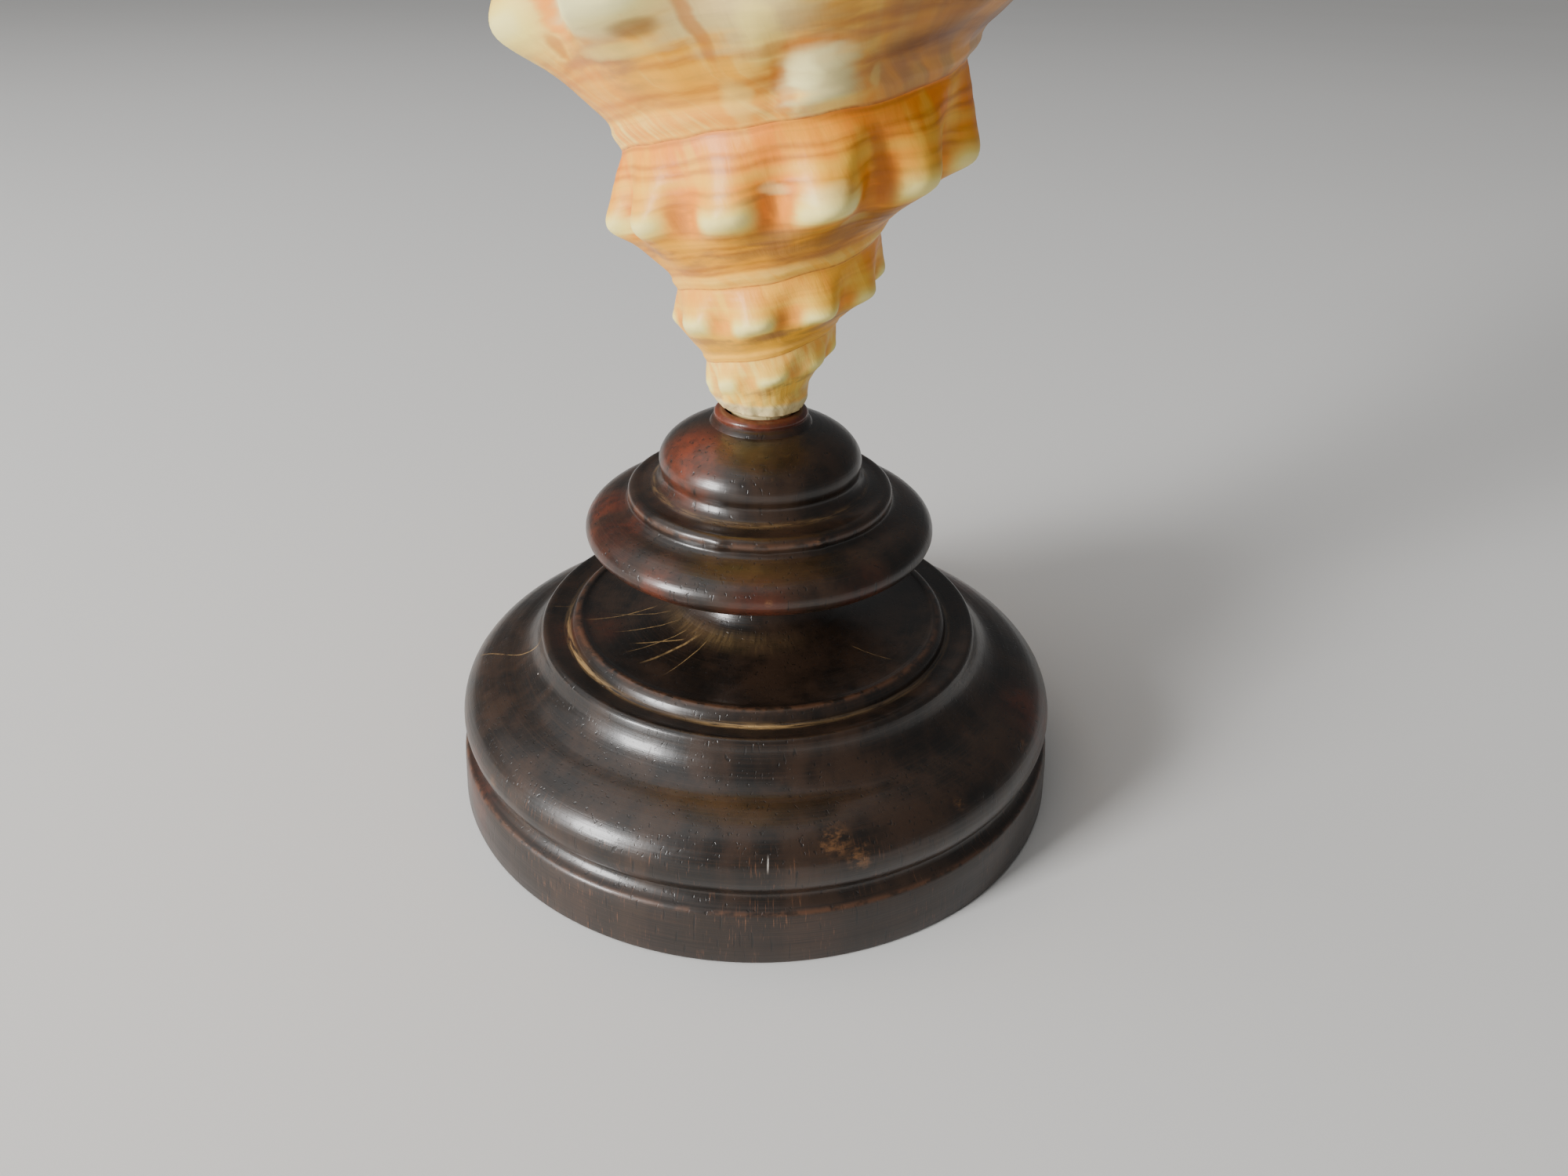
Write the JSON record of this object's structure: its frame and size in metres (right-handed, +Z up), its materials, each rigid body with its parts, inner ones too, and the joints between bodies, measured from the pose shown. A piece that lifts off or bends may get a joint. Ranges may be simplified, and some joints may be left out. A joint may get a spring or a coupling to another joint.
{
  "type": "trapezium horse conch shell on a turned wooden stand",
  "caption": "Knobbed spiral sea shell standing tip down in the collar of a round turned dark-wood stand, for display.",
  "frame": {"origin": "middle of the stand's flat foot, on the surface it stands on", "axes": "+Z up along the stand's turning axis; -Y is the side that the shell's mouth faces and that the picture was taken from; +X to that viewer's right"},
  "size_m": [0.082, 0.0822, 0.1945],
  "materials": {
    "shell": "satin",
    "dark_wood": "gloss"
  },
  "bodies": {
    "root": {"shell": "shell", "stand": "dark_wood"}
  },
  "joints": []
}
